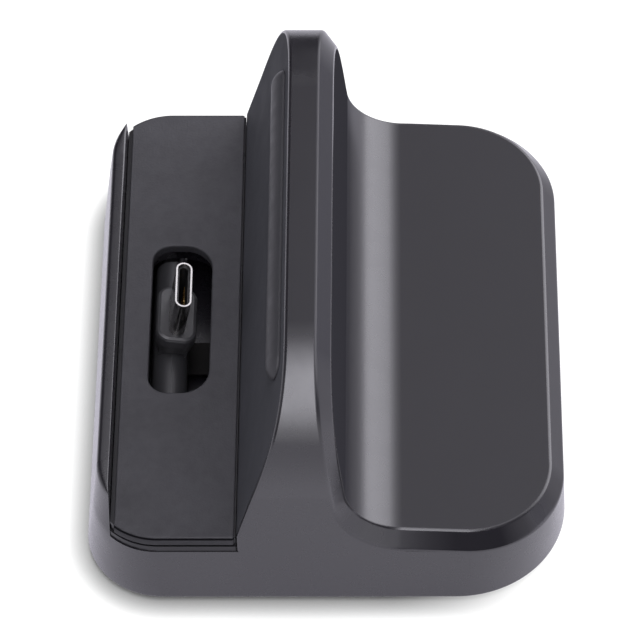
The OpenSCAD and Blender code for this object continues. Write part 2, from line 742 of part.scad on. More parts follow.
// Screw with its head's bearing face at Z = 0, pointing up
module screw(len, head_r = screw_head_r, head_h = screw_head_h) {
    translate([0, 0, -eps]) cylinder(r = screw_r, h = len + eps, $fn = 32);
    difference() {
        translate([0, 0, -head_h]) cylinder(r = head_r, h = head_h, $fn = 32);
        for (a = [0, 90]) rotate(a) translate([-head_r / 2, -driver_w / 2, -head_h - eps])
            cube([head_r, driver_w, head_h / 2]);
    }
}

module bracket_screws() {
    color([0.6, 0.6, 0.62]) raised()
        for (s = [-1, 1])
            translate([pivot_x, s * bracket_screw_y, flange_z])
                screw(bracket_screw_len, small_head_r);
}

module circuit_board() {
    color([0.05, 0.28, 0.14]) raised() difference() {
        translate([board_x0, -board_len / 2, board_z]) cube([board_w, board_len, board_t]);
        for (p = board_places)
            translate([p.x, p.y, board_z - 1])
                cylinder(r = screw_r + screw_clear, h = board_t + 2, $fn = 32);
    }
}

module board_screws() {
    color([0.6, 0.6, 0.62]) raised()
        for (p = board_places)
            translate([p.x, p.y, board_z]) screw(board_screw_len, small_head_r);
}

module power_socket_shell() {
    color([0.78, 0.78, 0.8]) raised()
        translate([socket_back_x, 0, socket_mid_z]) rotate([90, 0, 90]) difference() {
            linear_extrude(socket_len) stadium(socket_w, socket_h);
            translate([0, 0, socket_wall]) linear_extrude(socket_len)
                stadium(socket_w - 2 * socket_wall, socket_h - 2 * socket_wall);
        }
}

tongue_w = 6.6;
tongue_t = 0.7;
tongue_out = 4.6;
tongue_base = 1.6;
module power_socket_tongue() {
    color([0.06, 0.06, 0.06]) raised()
        translate([socket_back_x + socket_wall, 0, socket_mid_z]) {
            rotate([90, 0, 90]) linear_extrude(tongue_base)
                stadium(socket_w - 2 * socket_wall, socket_h - 2 * socket_wall);
            translate([tongue_base - eps, -tongue_w / 2, -tongue_t / 2])
                cube([tongue_out + eps, tongue_w, tongue_t]);
        }
}
pad_t = 0.08;
pad_inset = 0.4;
module power_socket_contacts() {
    color([0.83, 0.66, 0.3]) raised()
        for (s = [-1, 1], i = [0 : contact_count - 1])
            translate([socket_back_x + socket_wall + tongue_base + tongue_out / 2,
                       (i - (contact_count - 1) / 2) * contact_pitch,
                       socket_mid_z + s * (tongue_t + pad_t) / 2])
                cube([tongue_out - 2 * pad_inset, contact_w, pad_t], center = true);
}

// Parts on the board, placed from its front edge
module on_board(dx, y, w, len, h) {
    raised() translate([board_x0 + dx - w / 2, y - len / 2, board_top]) cube([w, len, h]);
}
parts_dx = 13;
parts_y = 3.5;
chip_w = 4;
chip_h = 0.9;
coil_w = 5;
coil_h = 2.6;
coil_round = 0.64;
cap_len = 1.6;
cap_w = 0.8;
cap_y = 8;
cap_step = 1.5;
cap_dx = 1.75;
module power_chip() {
    color([0.05, 0.05, 0.06]) on_board(parts_dx, -parts_y, chip_w, chip_w, chip_h);
}
module inductor() {
    color([0.2, 0.2, 0.2]) raised() translate([board_x0 + parts_dx, parts_y, board_top])
        intersection() {
            translate([-coil_w / 2, -coil_w / 2, 0]) cube([coil_w, coil_w, coil_h]);
            cylinder(r = coil_w * coil_round, h = coil_h, $fn = 48);
        }
}
module capacitors() {
    color([0.6, 0.5, 0.38])
        for (s = [-1, 1], y = [cap_y, cap_y + cap_step], dx = [-cap_dx, cap_dx])
            on_board(parts_dx + dx, s * y, cap_len, cap_w, cap_w);
}
ribbon_socket_w = 3;
ribbon_socket_h = 2;
ribbon_socket_back = 0.8;
ribbon_socket_side = 1.5;
ribbon_mouth_h = 0.5;
ribbon_clear = 0.1;
module ribbon_socket() {
    color([0.85, 0.83, 0.76]) difference() {
        on_board(ribbon_socket_w / 2, 0, ribbon_socket_w, ribbon_w + 2 * ribbon_socket_side,
                 ribbon_socket_h);
        raised() translate([board_x0 - eps, -ribbon_w / 2 - ribbon_clear,
                            board_top + (ribbon_socket_h - ribbon_mouth_h) / 2])
            cube([ribbon_socket_w - ribbon_socket_back, ribbon_w + 2 * ribbon_clear, ribbon_mouth_h]);
    }
}

// Flat ribbon from the rocker's notch, over the bracket's bar and up to its socket
ribbon_t = 0.2;
ribbon_low = bar_z + bar_t + 0.3;
ribbon_drop_r = 1.1;
ribbon_entry = 0.25;
ribbon_rise = 4.5;
ribbon_straight = 0.5;
function ribbon_line() =
    let (x1 = pivot_x + ribbon_drop_r, x3 = board_x0 - ribbon_straight, x2 = x3 - ribbon_rise,
         z1 = board_top + ribbon_socket_h / 2)
    concat([[pivot_x, pivot_z - notch_z - ribbon_entry]],
           [for (t = steps(8)) [x1 - ribbon_drop_r * cos(90 * t),
                                ribbon_low + ribbon_drop_r * (1 - sin(90 * t))]],
           [for (t = steps(8)) [x2 + t * (x3 - x2),
                                ribbon_low + (z1 - ribbon_low) * (1 - cos(180 * t)) / 2]],
           [[board_x0 + ribbon_socket_w - ribbon_socket_back - ribbon_clear, z1]]);
function thick(line, s) =
    [for (i = [0 : len(line) - 1])
        let (d = line[min(i + 1, len(line) - 1)] - line[max(i - 1, 0)], u = d / norm(d))
        line[i] + s * ribbon_t / 2 * [-u.y, u.x]];
module plug_ribbon() {
    line = ribbon_line();
    color([0.1, 0.08, 0.07]) raised() along_y(ribbon_w)
        polygon(concat(thick(line, -1), turned(thick(line, 1))));
}

// Steel weights that lie on the cover, one at each end and clear of the board
weight_lap = 4.5;
weight_gap = 2.2;
weight_end = 6.3;
weight_x0 = rest_x(0) + weight_lap;
weight_y0 = max(board_len / 2 + weight_gap, base_len / 2 - weight_end - weight_w);
module weight(side) {
    color([0.5, 0.5, 0.52]) raised()
        translate([weight_x0, side > 0 ? weight_y0 : -weight_y0 - weight_w, cover_t])
            cube([weight_len, weight_w, weight_h]);
}

foot_clear = 0.1;
module bottom_cover() {
    color([0.15, 0.15, 0.16]) raised() difference() {
        linear_extrude(cover_t) polygon(foot_outline(cover_inset + cover_gap));
        for (p = foot_places) translate([p.x, p.y, -1]) {
            cylinder(r = foot_r + foot_clear, h = 1 + foot_seat, $fn = 64);
            cylinder(r = screw_head_r + head_clear, h = 1 + cover_screw_z, $fn = 40);
            cylinder(r = screw_r + screw_clear, h = cover_t + 2, $fn = 32);
        }
    }
}

module cover_screws() {
    color([0.6, 0.6, 0.62]) raised()
        for (p = foot_places)
            translate([p.x, p.y, cover_screw_z])
                screw(cover_t + cover_hole_len - screw_spare - cover_screw_z);
}

// One round rubber foot with a chamfered tread
foot_edge = 0.3;
module foot(i) {
    color([0.1, 0.1, 0.1]) translate([foot_places[i].x, foot_places[i].y, 0])
        rotate_extrude($fn = 64)
            polygon([[0, 0], [foot_r - foot_edge, 0], [foot_r, foot_edge],
                     [foot_r, foot_h + foot_seat], [0, foot_h + foot_seat]]);
}

main_housing();
cradle_tray();
cradle_mat();
backrest_strip();
plug_rocker();
plug_shell();
plug_liner();
plug_contacts();
pivot_pin();
return_spring();
pivot_bracket();
bracket_screws();
circuit_board();
board_screws();
power_socket_shell();
power_socket_tongue();
power_socket_contacts();
power_chip();
inductor();
capacitors();
ribbon_socket();
plug_ribbon();
weight(-1);  // weight_near
weight(1);  // weight_far
bottom_cover();
cover_screws();
foot(0);  // foot_front_near
foot(1);  // foot_front_far
foot(2);  // foot_rear_near
foot(3);  // foot_rear_far
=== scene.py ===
import math

import bmesh
import bpy
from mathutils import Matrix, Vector


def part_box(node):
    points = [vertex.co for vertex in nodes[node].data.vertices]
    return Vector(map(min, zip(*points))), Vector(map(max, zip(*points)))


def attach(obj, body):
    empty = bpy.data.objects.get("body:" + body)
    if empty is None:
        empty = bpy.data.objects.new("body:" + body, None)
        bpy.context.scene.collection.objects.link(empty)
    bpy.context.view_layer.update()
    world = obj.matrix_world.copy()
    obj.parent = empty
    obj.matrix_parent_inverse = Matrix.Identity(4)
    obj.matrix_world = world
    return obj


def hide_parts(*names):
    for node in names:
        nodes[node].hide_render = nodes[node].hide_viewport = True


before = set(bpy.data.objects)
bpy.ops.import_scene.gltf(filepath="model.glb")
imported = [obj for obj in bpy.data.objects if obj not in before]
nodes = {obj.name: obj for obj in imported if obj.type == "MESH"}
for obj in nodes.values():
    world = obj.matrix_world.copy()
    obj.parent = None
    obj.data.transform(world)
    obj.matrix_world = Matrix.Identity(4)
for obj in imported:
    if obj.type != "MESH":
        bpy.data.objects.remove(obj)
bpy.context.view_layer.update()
MM = 0.001

# Sizes of the solids in millimetres; a height is counted from the housing's foot
FOOT_H = 1.0
BASE_LEN, BASE_W, HOUSING_H = 81.0, 70.0, 41.0
WALL = 2.0
FRONT_R, FRONT_R_MID, FRONT_R_LIP = 11.3, 9.4, 11.2
REAR_R, REAR_R_TOP = 16.2, 14.5
REST_LEAN, REAR_LEAN, DECK_FALL = math.radians(15), math.radians(6.3), math.radians(3)
TOP_FLAT, REST_RISE = 4.5, 0.4
DECK_Z, SWEEP_R = 12.75, 8.7
BEVEL_W, BEVEL_REST, BEVEL_DECK, BEVEL_TOP = 1.85, 1.7, 2.4, 2.6
CRADLE_W, FLOOR_Z, FLOOR_T = 18.2, 10.9, 1.8
LIP_Z, LIP_T = 17.7, 1.9
LIP_DRAFT, END_DRAFT, REAR_DRAFT = 0.124, 0.036, 0.045
TRAY_T, MAT_T = 1.45, 1.55
CRADLE_R, LIP_GAP, REST_GAP = 9.6, 0.7, 0.35
PAD_STEP_H, PAD_STEP_IN, PAD_REAR_R = 0.3, 0.3, 0.3
STRIP_LEN, STRIP_H, STRIP_PROUD, STRIP_DROP = 56.4, 4.6, 1.5, 4.5
COVER_IN, COVER_T = 1.1, 2.2
SLOT_W, SLOT_LEN, SLOT_LIP_R, SLOT_REST_R, SLOT_FORWARD = 8.9, 27.6, 2.9, 4.2, 0.15
SLOT_RELIEF, SLOT_END_RELIEF = 0.5, 1.2
SOCKET_W, SOCKET_H, SOCKET_CLEAR, SOCKET_MID_Z = 8.94, 3.16, 0.25, 6.58

# Rounds that only the looks have, and the even curve of the rest's top corner
TOP_REACH, TOP_POWER = 18.0, 3.19
PANEL_ROUND, RIM_ROUND, FRONT_ROUND = 0.34, 0.42, 0.45
TABLE_ROUND, TABLE_ROUND_MID = 0.35, 0.08
LIP_ROUND_H, LIP_ROUND_OUT, LIP_ROUND_IN = 0.7, 0.62, 0.3
SOCKET_LEAD, STRIP_CROWN = 0.25, 0.62

# Steps along each curve or wall
CORNER_STEPS, SWEEP_STEPS, LEAD_STEPS, LEAN_STEPS = 36, 32, 6, 8
ROUND_STEPS, SLOT_STEPS, SOCKET_STEPS, STRIP_STEPS, FOOT_TURNS = 4, 10, 24, 20, 64
WALL_STEPS, OPEN_STEPS, LIP_STEPS, LIP_OUT_STEPS, LIP_IN_STEPS = 4, 14, 6, 5, 3
LIP_TURN_STEPS = CORNER_STEPS - OPEN_STEPS

# Counts of points on the rim's near half: to the end of the top corner, sweep and lead, and in all
N_TOP = CORNER_STEPS + 1
N_ARC = N_TOP + SWEEP_STEPS + 1
N_SWEEP = N_ARC + LEAD_STEPS
HALF = N_SWEEP + CORNER_STEPS + 1
N_FRONT = N_TOP + LEAN_STEPS + 1

# Finishes of the housing, and tables of painted light and shade: place along a chain, painted sheen loss
# and painted colour shift; a negative sheen loss paints extra sheen
SATIN, MATTE = 0, 1
TONES = ("painted_sheen_loss", "painted_colour_shift")
PLAIN = (0.0, 0.0)
LAST = 999
BEVEL_PAINTED_SHADING = ((0, 0.9, 1), (6, 0.9, 1), (12, 0.6, 0.45), (20, 0, 0), (28, 0, 0.1), (32, 0, 0.3),
               (37, 0, 0.3), (41, 0, 0), (48, 0, 0.1), (56, -0.1, 0.3), (62, 0, 0.4),
               (66, 0.3, 0.3), (69, 0.6, 0.3), (72, 0.8, 0.2), (75, 0.92, 0.1), (85, 0.92, 0.1),
               (92, 0.3, 0.1), (95, 0, 0.8), (98, 0, 0.8), (102, 0.2, 0.1), (108, 0.5, 0),
               (LAST, 0.5, 0))
PANEL_PAINTED_SHADING = ((0, 1, 1.1), (38, 1, 1.1), (42, 0.85, 0.6), (50, 0.2, 0.1), (54, 0, 0),
               (64, 0, 0), (69, 0.48, 0), (LAST, 0.48, 0))
TOP_PAINTED_SHADING = ((0, 0.4, 0), (2, 0.1, 0), (5, -0.2, 0), (10, -0.12, 0), (17, 0, 0), (LAST, 0, 0))
# Share of the bevel's painted light and shade that the rim takes along the rest's top
RIM_SHARE = 0.5
# Painted shade of the pad: sheen loss and a darker colour on its foot, wall and ledge
PAD_FOOT_SHADE, PAD_WALL_SHADE, PAD_LEDGE_SHADE = (1.0, 1.0), (0.3, 0.25), (1.0, 0.9)

# Places that follow from the sizes
MAT_TOP = FLOOR_Z + TRAY_T + MAT_T
LIP_IN_X = -BASE_W / 2 + LIP_DRAFT * LIP_Z + LIP_T
REST_FOOT_X = LIP_IN_X + CRADLE_W
REST_FOOT_Z = MAT_TOP + REST_RISE
REAR_TOP_X = (REST_FOOT_X + math.tan(REST_LEAN) * (HOUSING_H - REST_FOOT_Z) + TOP_FLAT
              + BEVEL_REST / math.cos(REAR_LEAN))
PAD_X0, PAD_X1 = LIP_IN_X + LIP_GAP, REST_FOOT_X - REST_GAP
SLOT_X = (PAD_X0 + PAD_X1 - SLOT_W) / 2 - SLOT_FORWARD


# Faces of the housing: front of the rest, ends, rear wall, lip and back of the rest, w inside them
def rest_x(z):
    return REST_FOOT_X + math.tan(REST_LEAN) * (z - REST_FOOT_Z)


def end_y(z, w=0.0):
    return BASE_LEN / 2 - END_DRAFT * z - w


def rear_x(z, w=0.0):
    return BASE_W / 2 - REAR_DRAFT * z - w


def lip_x(z):
    return -BASE_W / 2 + LIP_DRAFT * z


def rear_face_x(z, w=0.0):
    return REAR_TOP_X + (HOUSING_H - z) * math.tan(REAR_LEAN) - w / math.cos(REAR_LEAN)


DECK_EDGE_X = rear_x(DECK_Z) - BEVEL_W


def deck_top_z(x, w=0.0):
    return DECK_Z + (DECK_EDGE_X - x) * math.tan(DECK_FALL) - w / math.cos(DECK_FALL)


# Centre of the sweep's arc, which touches the back of the rest and the deck
def sweep_centre():
    to_rear = SWEEP_R + math.cos(REAR_LEAN) * REAR_TOP_X + math.sin(REAR_LEAN) * HOUSING_H
    to_deck = SWEEP_R + math.sin(DECK_FALL) * DECK_EDGE_X + math.cos(DECK_FALL) * DECK_Z
    turn = math.cos(REAR_LEAN + DECK_FALL)
    return ((to_rear * math.cos(DECK_FALL) - to_deck * math.sin(REAR_LEAN)) / turn,
            (to_deck * math.cos(REAR_LEAN) - to_rear * math.sin(DECK_FALL)) / turn)


SWEEP_X, SWEEP_Z = sweep_centre()


def steps(n):
    return [i / n for i in range(n + 1)]


def flip(p):
    return Vector((p.x, -p.y, p.z))


def closed(chain):
    return list(chain) + [flip(p) for p in reversed(chain)]


def between(table, place):
    """Painted sheen loss and painted colour shift at a place along a chain, from a table of tones."""
    for (p0, *low), (p1, *high) in zip(table, table[1:]):
        if place <= p1:
            t = (place - p0) / (p1 - p0)
            return tuple(a + (b - a) * t for a, b in zip(low, high))


def tangents(loop):
    """Unit directions along a closed loop of points."""
    n = len(loop)
    return [(loop[(i + 1) % n] - loop[i - 1]).normalized() for i in range(n)]


def round_rows(points, a_dirs, b_dirs, reach):
    """Rows of points that round the edge at points, from reach along a_dirs to reach along b_dirs."""
    rows = []
    for k in steps(ROUND_STEPS):
        row = []
        for p, a, b in zip(points, a_dirs, b_dirs):
            pa, pb = p + a * reach, p + b * reach
            row.append(pa * (1 - k) ** 2 + p * 2 * k * (1 - k) + pb * k * k)
        rows.append(row)
    return rows


class Shell:
    """A mesh that grows by rows and faces; equal points become one vertex."""

    def __init__(self):
        self.bm = bmesh.new()
        self.seen = {}
        self.tones = [self.bm.loops.layers.float.new(name) for name in TONES]

    def vert(self, p):
        key = (round(p[0], 4), round(p[1], 4), round(p[2], 4))
        if key not in self.seen:
            self.seen[key] = self.bm.verts.new((p[0] * MM, p[1] * MM, (p[2] + FOOT_H) * MM))
        return self.seen[key]

    def face(self, points, finish=SATIN, tones=None):
        corners = {}
        for k, p in enumerate(points):
            corners.setdefault(self.vert(p), tones[k] if tones else PLAIN)
        if len(corners) > 2 and self.bm.faces.get(list(corners)) is None:
            face = self.bm.faces.new(list(corners))
            face.material_index = finish
            for corner in face.loops:
                for layer, value in zip(self.tones, corners[corner.vert]):
                    corner[layer] = value

    def strip(self, a, b, loop=False, finish=SATIN, tone=None):
        n = len(a)
        for i in range(n if loop else n - 1):
            j = (i + 1) % n
            tones = [tone(k) for k in (i, j, j, i)] if tone else None
            self.face([a[i], a[j], b[j], b[i]], finish, tones)

    def rows(self, rows, loop=False, tone=None):
        for a, b in zip(rows, rows[1:]):
            self.strip(a, b, loop, tone=tone)

    def span(self, loop, finish=SATIN, tone=None):
        """Fills a closed loop between its near half and its far half."""
        half = len(loop) // 2
        self.strip(loop[:half], list(reversed(loop[half:])), finish=finish, tone=tone)

    def both(self, a, b):
        """A strip at the near end and its mirror at the far end."""
        self.strip(a, b)
        self.strip([flip(p) for p in a], [flip(p) for p in b])

    def done(self, name):
        bmesh.ops.recalc_face_normals(self.bm, faces=self.bm.faces)
        mesh = bpy.data.meshes.new(name)
        self.bm.to_mesh(mesh)
        self.bm.free()
        obj = bpy.data.objects.new(name, mesh)
        bpy.context.scene.collection.objects.link(obj)
        return obj


def rounded_rect(x0, x1, y_half, r0, r1):
    """Outline of a slot with its own corner radii on each side, anticlockwise."""
    out = []
    for cx, cy, r, turn in ((x1 - r1, y_half - r1, r1, 0), (x0 + r0, y_half - r0, r0, 1),
                            (x0 + r0, -y_half + r0, r0, 2), (x1 - r1, -y_half + r1, r1, 3)):
        for t in steps(SLOT_STEPS):
            a = math.pi / 2 * (turn + t)
            out.append((cx + r * math.cos(a), cy + r * math.sin(a)))
    return out


def face_round_slot(shell, outer, rim):
    """Flat face round a slot; outer runs from the lip side to the rest side past the near end."""
    near = [p for p in rim if p.y < 0]
    half = list(outer) + list(reversed(near))
    shell.face(half)
    shell.face([flip(p) for p in half])
    for a, b in ((outer[0], near[0]), (outer[-1], near[-1])):
        shell.face([a, b, flip(b), flip(a)])


def slot_ring(grow, z):
    ring = rounded_rect(SLOT_X - grow, SLOT_X + SLOT_W + grow, SLOT_LEN / 2 + grow,
                        SLOT_LIP_R + grow, SLOT_REST_R + grow)
    return [Vector((x, y, z)) for x, y in ring]


# Near half of the rim: top corner, sweep, lead and rear corner, on the panel or at the bevel's foot
def edge_chain(at_bevel):
    side = 0.0 if at_bevel else BEVEL_W
    z0 = HOUSING_H - TOP_REACH
    y0 = end_y(z0) - TOP_REACH
    ry = TOP_REACH - side
    rz = TOP_REACH - (0.0 if at_bevel else BEVEL_TOP)
    chain = []
    for t in steps(CORNER_STEPS):
        a = math.pi / 2 * t
        c, s = math.cos(a), math.sin(a)
        reach = (abs(c) ** TOP_POWER + abs(s) ** TOP_POWER) ** (-1 / TOP_POWER)
        z = z0 + rz * reach * c
        chain.append(Vector((rear_face_x(z, BEVEL_REST if at_bevel else 0.0),
                             -y0 - ry * reach * s, z)))
    for t in steps(SWEEP_STEPS):
        a = math.pi + REAR_LEAN + t * (math.pi / 2 - DECK_FALL - REAR_LEAN)
        depth = BEVEL_REST + t * (BEVEL_DECK - BEVEL_REST) if at_bevel else 0.0
        r = SWEEP_R + depth
        z = SWEEP_Z + r * math.sin(a)
        chain.append(Vector((SWEEP_X + r * math.cos(a), -end_y(z, side), z)))
    depth = BEVEL_DECK if at_bevel else 0.0
    r = REAR_R_TOP - side
    cx = rear_x(DECK_Z - depth, side) - r
    sweep_end = chain[-1].x
    for t in steps(LEAD_STEPS + 1)[1:-1]:
        x = sweep_end + (cx - sweep_end) * t
        chain.append(Vector((x, -end_y(DECK_Z, side), deck_top_z(x, depth))))
    for t in steps(CORNER_STEPS):
        a = math.pi / 2 * t
        x = cx + r * math.sin(a)
        z = deck_top_z(x, depth)
        chain.append(Vector((x, r * (1 - math.cos(a)) - end_y(DECK_Z, side), z)))
    return chain


def near_place(i, half=HALF):
    """Place on the near half of the point at i or of its mirror."""
    return min(i, 2 * half - 1 - i)


# Normals of the swept panel at each point of the rim
def panel_normals(panel):
    normals = []
    for i, p in enumerate(panel):
        j = near_place(i)
        if j < N_TOP:
            normals.append(Vector((math.cos(REAR_LEAN), 0, math.sin(REAR_LEAN))))
        elif j < N_ARC:
            normals.append(Vector((SWEEP_X - p.x, 0, SWEEP_Z - p.z)).normalized())
        else:
            normals.append(Vector((math.sin(DECK_FALL), 0, math.cos(DECK_FALL))))
    return normals


# Directions away from the bevel's foot: over the top, into the end walls, or down the rear wall
def wall_directions(bevel):
    most_rear, most_up = 0.2, 0.3
    wall = []
    for i, along in enumerate(tangents(bevel)):
        j = near_place(i)
        if j < N_TOP:
            wall.append(Vector((-1, 0, 0)))
        elif j < N_SWEEP:
            w = Vector((0, -1 if i < HALF else 1, 0)).cross(along).normalized()
            wall.append(w if w.x < most_rear and w.z < most_up else -w)
        else:
            wall.append(Vector((0, 0, -1)))
    return wall


# Swept panel with its rounded rim and bevel; gives the outermost row of the rim
def swept_panel(shell):
    panel, bevel = closed(edge_chain(False)), closed(edge_chain(True))
    centre = Vector((12.0, 0.0, 15.0))
    inward = [n.cross(t).normalized() for n, t in zip(panel_normals(panel), tangents(panel))]
    inward = [d if d.dot(centre - p) > 0 else -d for d, p in zip(inward, panel)]
    across = [(b - p).normalized() for p, b in zip(panel, bevel)]
    rim_in = round_rows(panel, inward, across, PANEL_ROUND)
    rim_out = round_rows(bevel, [-a for a in across], wall_directions(bevel), RIM_ROUND)

    # Painted light and shade along the bevel, the rim and the panel, from the tables of tones
    def on_bevel(i):
        return between(BEVEL_PAINTED_SHADING, near_place(i))

    def on_rim(i):
        share = RIM_SHARE if near_place(i) < N_TOP else 0.0
        return tuple(share * t for t in on_bevel(i))

    def on_panel(i):
        return between(PANEL_PAINTED_SHADING, near_place(i))

    shell.rows(rim_in[:-1], loop=True)
    shell.rows(rim_in[-2:] + rim_out[:3], loop=True, tone=on_bevel)
    shell.rows(rim_out[2:], loop=True, tone=on_rim)
    shell.span(rim_in[0], tone=on_panel)
    return rim_out[-1]


# Front of the rest with its rounded edge: over the top corner, down the lean, to the cradle floor
def rest_front(shell):
    front = [Vector((rest_x(p.z), p.y, p.z)) for p in edge_chain(True)[:N_TOP]]
    z_top = front[-1].z
    for t in steps(LEAN_STEPS)[1:]:
        z = z_top + (REST_FOOT_Z - z_top) * t
        front.append(Vector((rest_x(z), -end_y(z), z)))
    front.append(Vector((REST_FOOT_X, -end_y(FLOOR_Z), FLOOR_Z)))
    front = closed(front)
    normal = Vector((-math.cos(REST_LEAN), 0, math.sin(REST_LEAN)))
    middle = Vector((0, 0, 20))
    in_face = []
    for i, (p, t) in enumerate(zip(front, tangents(front))):
        if near_place(i, N_FRONT) < N_TOP:
            d = normal.cross(t).normalized()
        else:
            d = Vector((0, 1 if i < N_FRONT else -1, 0))
        in_face.append(d if d.dot(middle - p) > 0 else -d)
    over = [Vector((1, 0, 0))] * len(front)
    edge = round_rows(front, in_face, over, FRONT_ROUND)
    for a, b in zip(edge, edge[1:]):
        shell.strip(a[:N_FRONT], b[:N_FRONT])
        shell.strip(a[N_FRONT:], b[N_FRONT:])
        shell.face([a[0], a[-1], b[-1], b[0]])
    shell.span(edge[0], finish=MATTE)
    return edge[0], edge[-1]


# Top of the rest between its front edge and the bevel, with painted sheen and painted shade along it
def rest_top(shell, front, rim):
    def on_top(i):
        return between(TOP_PAINTED_SHADING, i)

    shell.strip(front[:N_TOP], rim[:N_TOP], tone=on_top)
    shell.strip(front[-N_TOP:], rim[-N_TOP:], tone=lambda i: on_top(N_TOP - 1 - i))
    shell.face([front[0], front[-1], rim[-1], rim[0]], tones=[on_top(0)] * 4)


# Ring round the housing just above the table: near half, from the lip to the rear, w inside
def foot_ring(z, w):
    def corner(x, toward, r):
        turns = [math.pi / 2 * t for t in steps(CORNER_STEPS)]
        y = -end_y(z, w)
        return [Vector((x + toward * r * (1 - math.sin(a)), y + r * (1 - math.cos(a)), z)) for a in turns]

    front = corner(lip_x(z) + w, 1, FRONT_R - w)
    rear = corner(rear_x(z, w), -1, REAR_R - w)
    return list(reversed(front)) + rear


# Rounded foot of the walls, the cover's seat and its roof; gives the ring at the walls' foot
def wall_foot(shell):
    outer = foot_ring(TABLE_ROUND, 0.0)
    rings = [outer, foot_ring(TABLE_ROUND / 4, TABLE_ROUND_MID), foot_ring(0.0, TABLE_ROUND),
             foot_ring(0.0, COVER_IN), foot_ring(COVER_T, COVER_IN)]
    shell.rows([closed(r) for r in rings], loop=True)
    shell.face(closed(rings[-1]))
    return outer


# Rear corners, and the rear wall with the power socket's opening
def rear_wall(shell, top, low):
    shell.both(top, low)
    corners = [top[-1], low[-1], flip(low[-1]), flip(top[-1])]
    half_w, half_h = SOCKET_W / 2 + SOCKET_CLEAR, SOCKET_H / 2 + SOCKET_CLEAR
    quads = [[], [], [], []]
    for near, start in ((True, 90), (False, 270)):
        for t in steps(SOCKET_STEPS):
            a = math.radians(start + 180 * t)
            y = (-1 if near else 1) * (half_w - half_h) + half_h * math.cos(a)
            z = SOCKET_MID_Z + half_h * math.sin(a)
            if near:
                quad = 0 if z >= SOCKET_MID_Z else 1
            else:
                quad = 2 if z <= SOCKET_MID_Z else 3
            quads[quad].append(Vector((rear_x(z), y, z)))
    hole = [p for quad in quads for p in quad]
    owner = [k for k, quad in enumerate(quads) for _ in quad]
    for k, a in enumerate(hole):
        b = hole[(k + 1) % len(hole)]
        mine, other = owner[k], owner[(k + 1) % len(hole)]
        shell.face([corners[mine], a, b])
        if mine != other:
            shell.face([corners[mine], b, corners[other]])
    lead, inside = [[Vector((p.x - d, p.y, p.z)) for p in hole] for d in (SOCKET_LEAD, WALL)]
    shell.rows([hole, lead, inside], loop=True)


# Share of a front corner's turn at which the lip's inner face crosses it
def cut_at(z, r):
    return math.asin(max(-1.0, min(1.0, 1 - (LIP_IN_X - lip_x(z)) / r))) / (math.pi / 2)


def corner_point(z, r, t):
    a = math.pi / 2 * t
    return Vector((lip_x(z) + r * (1 - math.sin(a)), -end_y(z) + r * (1 - math.cos(a)), z))


# Front corners and front wall up to the cradle floor
def front_wall(shell, foot_row):
    cut = cut_at(FLOOR_Z, FRONT_R_MID)
    t_foot = [1 - t for t in reversed(steps(CORNER_STEPS))]
    t_floor = [cut * k / OPEN_STEPS for k in range(OPEN_STEPS)]
    t_floor += [cut + (1 - cut) * t for t in steps(LIP_TURN_STEPS)]
    rows = [foot_row]
    for s in steps(WALL_STEPS)[1:]:
        z = TABLE_ROUND + (FLOOR_Z - TABLE_ROUND) * s
        r = FRONT_R + (FRONT_R_MID - FRONT_R) * s
        rows.append([corner_point(z, r, a + (b - a) * s) for a, b in zip(t_foot, t_floor)])
    shell.rows(rows)
    shell.rows([[flip(p) for p in r] for r in rows])
    shell.strip([r[-1] for r in rows], [flip(r[-1]) for r in rows])
    return rows


# One column of the lip: up its outer face, over its rounded top and down to the cradle floor
def lip_column(share):
    def out(z):
        r = FRONT_R_MID + (FRONT_R_LIP - FRONT_R_MID) * (z - FLOOR_Z) / (LIP_Z - FLOOR_Z)
        cut = cut_at(z, r)
        return corner_point(z, r, cut + (1 - cut) * share)

    shoulder = LIP_Z - LIP_ROUND_H
    column = [out(FLOOR_Z + (shoulder - FLOOR_Z) * t) for t in steps(LIP_STEPS)]
    start, knee = column[-1], out(LIP_Z)
    wide = LIP_IN_X - knee.x
    out_r, in_r = min(LIP_ROUND_OUT, 0.5 * wide), min(LIP_ROUND_IN, 0.3 * wide)
    end = knee + Vector((out_r, 0, 0))
    for s in steps(LIP_OUT_STEPS)[1:]:
        column.append(start * (1 - s) ** 2 + knee * 2 * s * (1 - s) + end * s * s)
    for s in steps(LIP_IN_STEPS):
        a = math.pi / 2 * s
        column.append(Vector((LIP_IN_X - in_r * (1 - math.sin(a)), knee.y,
                              LIP_Z - in_r * (1 - math.cos(a)))))
    column.append(Vector((LIP_IN_X, column[0].y, FLOOR_Z)))
    return column


# The lip, narrowing to its two ends
def lip(shell):
    columns = [lip_column(t) for t in steps(LIP_TURN_STEPS)]
    for a, b in zip(columns, columns[1:]):
        shell.both(a, b)
    shell.strip(columns[-1], [flip(p) for p in columns[-1]])
    return columns


# Near and far end walls, each one flat piece
def end_walls(shell, front_rows, rest_edge, rim, rear_foot):
    side = [row[0] for row in front_rows]
    side += [rest_edge[j] for j in range(N_FRONT - 1, N_TOP - 2, -1)]
    side += rim[N_TOP - 1:N_SWEEP + 1] + [rear_foot]
    shell.face(side)
    shell.face([flip(p) for p in side])


# Cradle floor in two halves round the slot, and the slot's wall
def cradle_floor(shell, outline):
    rim = rounded_rect(SLOT_X - SLOT_RELIEF, SLOT_X + SLOT_W + SLOT_RELIEF,
                       SLOT_LEN / 2 + SLOT_END_RELIEF, SLOT_LIP_R, SLOT_REST_R)
    top, low = [[Vector((x, y, z)) for x, y in rim] for z in (FLOOR_Z, FLOOR_Z - FLOOR_T)]
    shell.strip(top, low, loop=True)
    face_round_slot(shell, outline, top)


